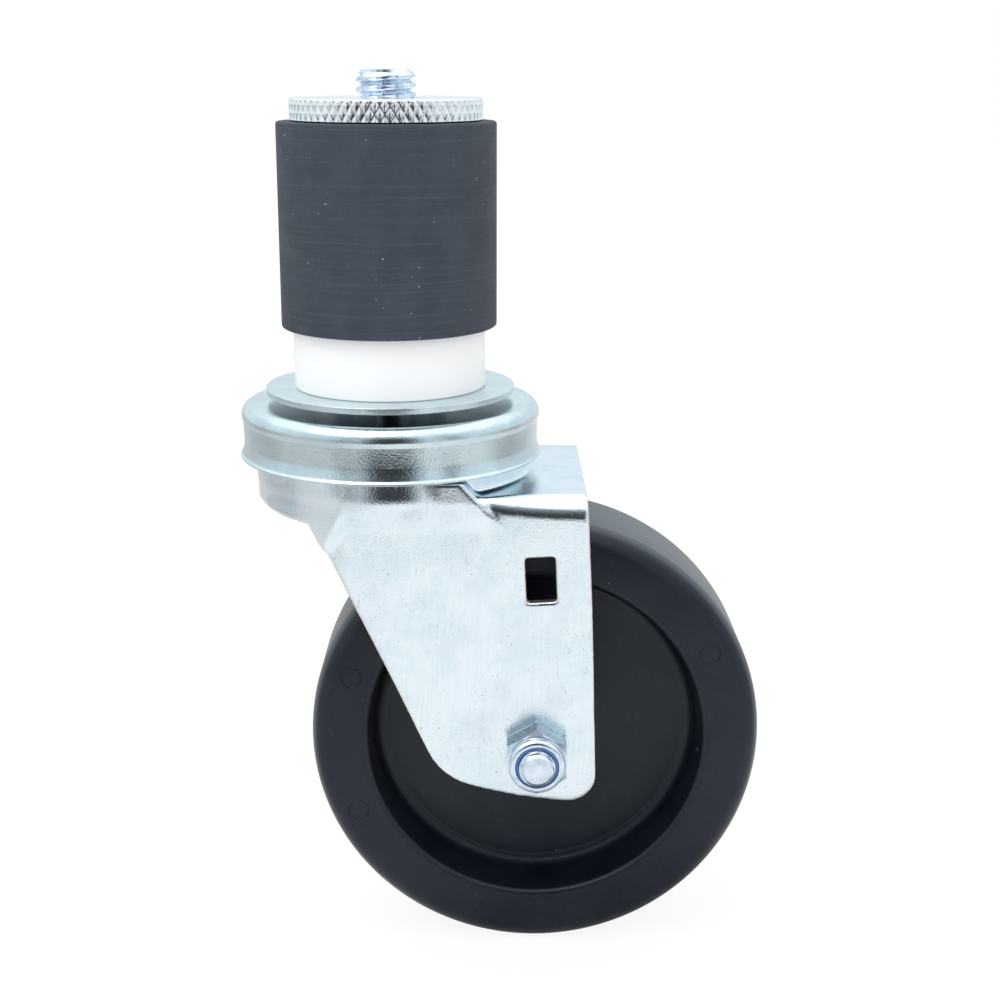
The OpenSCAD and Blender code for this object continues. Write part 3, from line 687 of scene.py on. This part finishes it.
# Spacer. A ring of white nylon, turned from tube, so that faint rings run round it. It stands loose on
# the seat washer, round the clamp bolt, and holds the rubber clear of the washer.
bolt_room = 5.3
spacer_top = 10
spacer = turned("nylon_spacer_ring", round_corners([
    (bolt_room, 0, 0.2), (15.8, 0, 0.3), (15.8, spacer_top, 0.4), (bolt_room, spacer_top, 0.2)]), 160)
white_nylon, tree, shader = material("white_nylon", Roughness=0.45, Specular_IOR_Level=0.4)
tool_marks = noise(tree, millimetres(tree, (40, 40, 0.25)), 1, 2)
shade = noise(tree, millimetres(tree), 0.2, 3)
tree.links.new(mixed(tree, shade, (0.97, 0.975, 0.985, 1), (0.94, 0.95, 0.965, 1)),
               shader.inputs["Base Color"])
relief(tree, shader, tool_marks, 0.012)
spacer.data.materials.append(white_nylon)
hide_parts("nylon_spacer")
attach(spacer, "stem_adapter")


# Rubber sleeve. Cut from extruded black rubber tube with a parting tool, so its side carries faint level
# lines, its ends are square, and pale dust sits on it. The real one swells when the nut is drawn down;
# this mesh keeps one shape.
sleeve_r, sleeve_top = 17.7, 42.8
sleeve = turned("rubber_expander", round_corners([
    (bolt_room, spacer_top, 0.3), (sleeve_r, spacer_top, 0.35), (sleeve_r, sleeve_top, 0.45),
    (bolt_room, sleeve_top, 0.3)]), 160)
rubber, tree, shader = material("black_rubber", Specular_IOR_Level=0.35)
place = millimetres(tree)
lines = noise(tree, millimetres(tree, (30, 30, 0.35)), 1, 3, 0.6)
mottle = noise(tree, place, 0.18, 4, 0.6)
grain = noise(tree, place, 4, 3, 0.7)
dust = placed(tree, specks, Spacing=1.1, Size=0.13, Share=0.35)[0]
drift = ramp(tree, noise(tree, millimetres(tree), 0.07, 3), 0.42, 0.6)
scuff = placed(tree, scratches, Amount=0.35)[0]
colour = mixed(tree, ramp(tree, mottle, 0.3, 0.7), (0.037, 0.047, 0.065, 1), (0.048, 0.06, 0.08, 1))
colour = mixed(tree, calc(tree, "MULTIPLY", ramp(tree, lines, 0.5, 0.75), 0.4), colour,
               (0.078, 0.09, 0.11, 1))
colour = mixed(tree, scuff, colour, (0.12, 0.13, 0.15, 1))
colour = mixed(tree, calc(tree, "MULTIPLY", dust, drift), colour, (0.42, 0.44, 0.46, 1))
tree.links.new(colour, shader.inputs["Base Color"])
tree.links.new(ramp(tree, grain, 0.3, 0.7, 0.6, 0.75), shader.inputs["Roughness"])
relief(tree, shader, calc(tree, "ADD", lines, calc(tree, "MULTIPLY", grain, 0.6)), 0.03)
sleeve.data.materials.append(rubber)
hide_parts("rubber_sleeve")
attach(sleeve, "stem_adapter")
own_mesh(sleeve)


# Knurled nut. A round plated nut with a diamond knurl rolled into its whole rim, so that it bites and
# does not turn while the bolt draws it down on the rubber.
knurl, given, out = effect("diamond_knurl", [
    ("Blank", "Geometry", None), ("Teeth", "Float", 66), ("Lead", "Float", 0.0018),
    ("Depth", "Float", 0.0004), ("Rim", "Float", 0.015), ("Finish", "Material", None)],
    [("Knurled", "Geometry")], "GeometryNodeTree")
x, y, z = node(knurl, "ShaderNodeSeparateXYZ", {0: node(knurl, "GeometryNodeInputPosition")}).outputs
radius = off_axis(knurl, x, y)
turns = calc(knurl, "MULTIPLY", calc(knurl, "DIVIDE", calc(knurl, "ARCTAN2", y, x), 2 * math.pi),
             given["Teeth"])
climb = calc(knurl, "DIVIDE", z, given["Lead"])
grooves = [calc(knurl, "ABSOLUTE", calc(knurl, "MULTIPLY_ADD", calc(
    knurl, "FRACT", calc(knurl, way, turns, climb)), 2, -1)) for way in ("ADD", "SUBTRACT")]
height = ramp(knurl, calc(knurl, "MINIMUM", *grooves), 0, 0.85)
cut_depth = calc(knurl, "MULTIPLY", calc(knurl, "SUBTRACT", 1, height), given["Depth"])
scale = calc(knurl, "SUBTRACT", 1, calc(knurl, "DIVIDE", cut_depth, calc(knurl, "MAXIMUM", radius, 1e-6)))
place = node(knurl, "ShaderNodeCombineXYZ", {
    0: calc(knurl, "MULTIPLY", x, scale), 1: calc(knurl, "MULTIPLY", y, scale), 2: z})
moved = node(knurl, "GeometryNodeSetPosition", {
    "Geometry": given["Blank"], "Selection": calc(knurl, "GREATER_THAN", radius, given["Rim"]),
    "Position": place})
finished(knurl, moved, given, out)
nut_foot, nut_top, nut_r = 42.84, 46.44, 15.5
rim_rows = np.linspace(nut_foot + 0.2, nut_top - 0.25, 30)
nut_outline = [(4.82, nut_foot), (14.6, nut_foot), (15.25, nut_foot + 0.05)] + [
    (nut_r, z) for z in rim_rows] + [(15.2, nut_top - 0.03), (14.7, nut_top), (5.3, nut_top),
                                     (4.82, nut_top - 0.4)]
nut = turned("knurled_clamp_nut", nut_outline, 792, 60)
nut_zinc, tree, shader = zinc("nut_zinc", (0.95, 0.96, 0.97, 1), (0.84, 0.87, 0.9, 1), 2, 0.2,
                              0.18, 0.1, 0.003, 0.3, 0.05)
grown(nut, knurl, Teeth=64.0, Lead=2.6 * MM, Depth=0.18 * MM, Rim=15.1 * MM, Finish=nut_zinc)
nut.data.set_sharp_from_angle(angle=math.radians(50))
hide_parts("knurled_nut")
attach(nut, "clamp_nut_body")


# Floor. A white sweep that the wheel stands on. The camera sees it as white, with a faint shadow of the
# wheel on it.
def seen_plainly(tree):
    """Light Path's outputs, and 1 for a ray from the camera, from a mirror or through glass."""
    rays = node(tree, "ShaderNodeLightPath").outputs
    return rays, calc(tree, "MAXIMUM", calc(tree, "MAXIMUM", rays["Is Camera Ray"], rays["Is Glossy Ray"]),
                      rays["Is Transmission Ray"])


floor_z = axle_z - wheel_r
floor = mesh_object("studio_floor", [(x, y, floor_z) for x, y in (
    (-1500, -1500), (1500, -1500), (1500, 1500), (-1500, 1500))], [(0, 1, 2, 3)])
floor_white = bpy.data.materials.new("floor_white")
floor_white.use_nodes = True
tree = floor_white.node_tree
rays, shown = seen_plainly(tree)
diffuse = node(tree, "ShaderNodeBsdfDiffuse", {"Color": (0.88, 0.88, 0.88, 1)})
x, y, z = node(tree, "ShaderNodeSeparateXYZ", {
    0: node(tree, "ShaderNodeTexCoord").outputs["Object"]}).outputs
away = off_axis(tree, x, y)
# In the metal the floor is bright near the wheel and falls off, most of all to both sides and to the left;
# this falloff is painted shade, and the dark right under the wheel is a painted shadow of the wheel.
beside = calc(tree, "MULTIPLY", ramp(tree, calc(tree, "ABSOLUTE", x), 0.12, 0.3),
              ramp(tree, calc(tree, "ABSOLUTE", calc(tree, "SUBTRACT", y, 0.1)), 0.25, 0.05))
# Painted shadow of the wheel, in the floor's glow that the metal sees
painted_shadow_reach = calc(tree, "ADD", calc(tree, "POWER", calc(tree, "MULTIPLY_ADD", x, 22, -0.77), 2),
               calc(tree, "POWER", calc(tree, "MULTIPLY", y, 11), 2))
painted_side_shade = calc(tree, "MULTIPLY", beside, ramp(tree, x, -0.05, 0.05, 0.3, 0.42))
mirrored = calc(tree, "MULTIPLY", ramp(tree, away, 0.1, 0.5, 1, 0.76),
                ramp(tree, painted_shadow_reach, 0.1, 0.8, 0.4, 1))
mirrored = calc(tree, "MULTIPLY", mirrored, calc(tree, "SUBTRACT", 1, painted_side_shade))
mirrored = calc(tree, "MULTIPLY", mirrored, ramp(tree, x, -0.08, -0.01, 0.76, 1))
glow = node(tree, "ShaderNodeEmission", {
    "Color": (1, 1, 1, 1), "Strength": calc(tree, "MAXIMUM", mirrored, calc(
        tree, "MULTIPLY", rays["Is Camera Ray"], 1.05))})
surface = node(tree, "ShaderNodeMixShader", {0: calc(tree, "MULTIPLY", shown, 0.85), 1: diffuse, 2: glow})
tree.links.new(surface.outputs[0], tree.nodes["Material Output"].inputs["Surface"])
floor.data.materials.append(floor_white)


# Dark of the studio. Three dark boards stand about as far off as the camera and lean back. They show only
# as reflections, most of all in the metal: one dark band in front, and a faint one on each side.
foot = -97
boards = ((-74, 104, 210), (245, 325, 400), (-168, -130, 400))
corners = [(x, -235 - (z - foot) * 0.2, z) for low, high, top in boards
           for x, z in ((low, foot), (high, foot), (high, top), (low, top))]
dark = mesh_object("dark_of_the_studio", corners, np.arange(12).reshape(3, 4))
dark_grey = bpy.data.materials.new("dark_grey")
dark_grey.use_nodes = True
tree = dark_grey.node_tree
height = node(tree, "ShaderNodeSeparateXYZ", {
    0: node(tree, "ShaderNodeTexCoord").outputs["Object"]}).outputs[2]
shade = mixed(tree, ramp(tree, height, 0, 0.2), (0.03, 0.032, 0.036, 1), (0.36, 0.38, 0.4, 1))
tree.links.new(shade, tree.nodes["Principled BSDF"].inputs["Base Color"])
tree.nodes["Principled BSDF"].inputs["Roughness"].default_value = 1
dark.data.materials.append(dark_grey)
dark.visible_camera = False
dark.visible_diffuse = False
dark.visible_shadow = False
dark.visible_transmission = False


# Light. A white room all round, and one soft lamp above the left shoulder of the camera. Both are at a
# plain level, so that a colour renders about as it is written.
world = bpy.data.worlds.new("studio")
scene.world = world
world.use_nodes = True
tree = world.node_tree
rays, shown = seen_plainly(tree)
# The metal sees a brighter ceiling over a dimmer horizon
up = node(tree, "ShaderNodeSeparateXYZ", {
    0: node(tree, "ShaderNodeTexCoord").outputs["Generated"]}).outputs[2]
sky = mixed(tree, ramp(tree, up, 0.25, 0.8), (0.82, 0.9, 0.94, 1), (1.4, 1.4, 1.4, 1))
seen = mixed(tree, rays["Is Camera Ray"], sky, (1, 1, 1, 1))
tree.links.new(mixed(tree, shown, (1, 1, 1, 1), seen), tree.nodes["Background"].inputs["Color"])
lamp = bpy.data.objects.new("soft_lamp", bpy.data.lights.new("soft_lamp", "AREA"))
lamp.data.size = 0.7
lamp.data.energy = 1.8
lamp.location = (-0.28, -0.36, 0.7)
lamp.rotation_euler = (math.radians(33), 0, math.radians(-38))
scene.collection.objects.link(lamp)
scene.view_settings.view_transform = "Standard"
